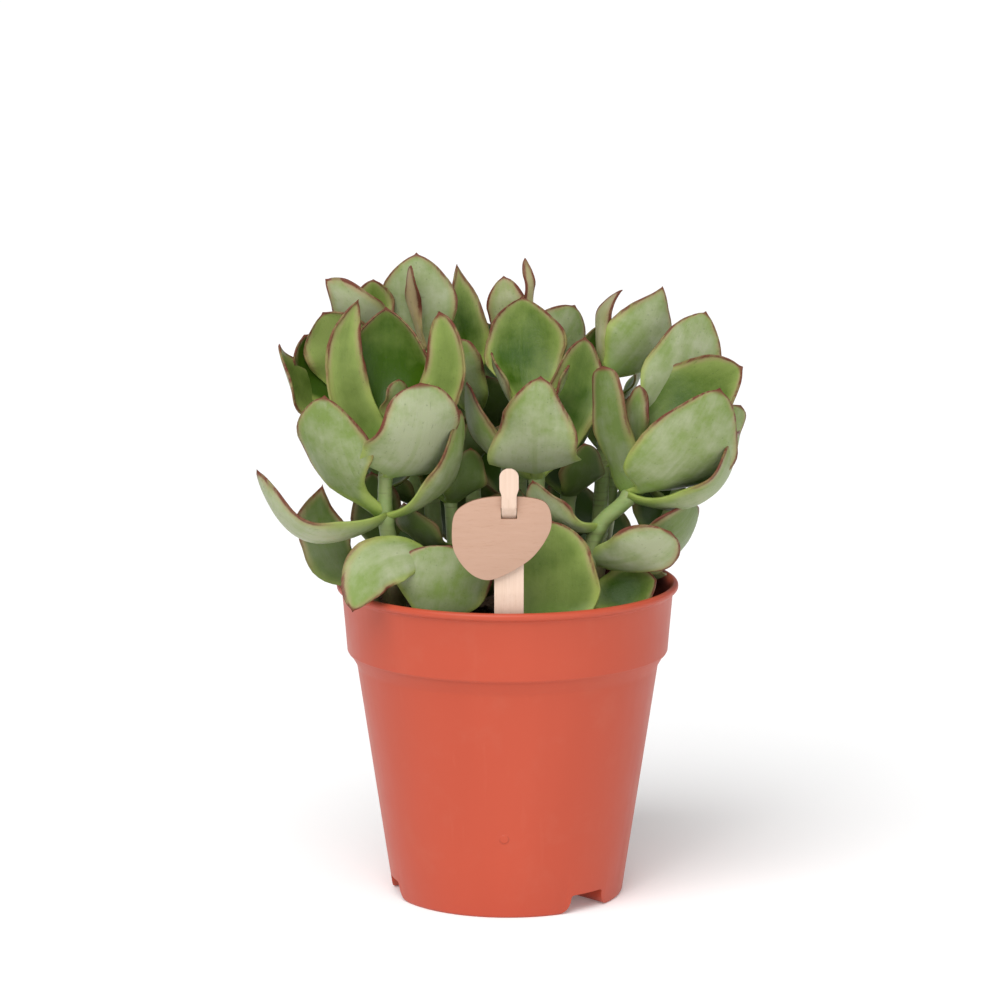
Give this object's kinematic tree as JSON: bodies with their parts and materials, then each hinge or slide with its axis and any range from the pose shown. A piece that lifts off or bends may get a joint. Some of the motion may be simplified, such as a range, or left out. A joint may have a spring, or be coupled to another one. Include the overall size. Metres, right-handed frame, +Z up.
{
  "type": "potted succulent plant",
  "caption": "Silver jade succulent with waved, red-edged fleshy leaves in a tapered terracotta-coloured plastic pot, with soil and a plain wooden plant label.",
  "frame": {"origin": "centre of the pot's flat foot, on the surface that the pot stands on", "axes": "+Z up the pot's axis; -Y towards the front, where the label stands; +X to the right seen from the front"},
  "size_m": [0.1692, 0.132, 0.2256],
  "materials": {
    "pot_plastic": "satin moulded plastic",
    "soil": "loose fibrous peat",
    "label_wood": "bare fine-grained wood",
    "leaf_and_stem": "waxy skin"
  },
  "bodies": {
    "root": {"back_left_shoot": "leaf_and_stem", "centre_back_shoot": "leaf_and_stem", "centre_shoot": "leaf_and_stem", "inner_left_shoot": "leaf_and_stem", "label_stick": "label_wood", "label_tag": "label_wood", "left_back_shoot": "leaf_and_stem", "left_front_shoot": "leaf_and_stem", "low_edge_shoot": "leaf_and_stem", "low_left_shoot": "leaf_and_stem", "low_right_shoot": "leaf_and_stem", "middle_left_shoot": "leaf_and_stem", "middle_right_shoot": "leaf_and_stem", "pot": "pot_plastic", "rear_left_shoot": "leaf_and_stem", "rear_right_shoot": "leaf_and_stem", "rear_shoot": "leaf_and_stem", "right_back_shoot": "leaf_and_stem", "right_front_shoot": "leaf_and_stem", "right_side_shoot": "leaf_and_stem", "soil": "soil"}
  },
  "joints": []
}
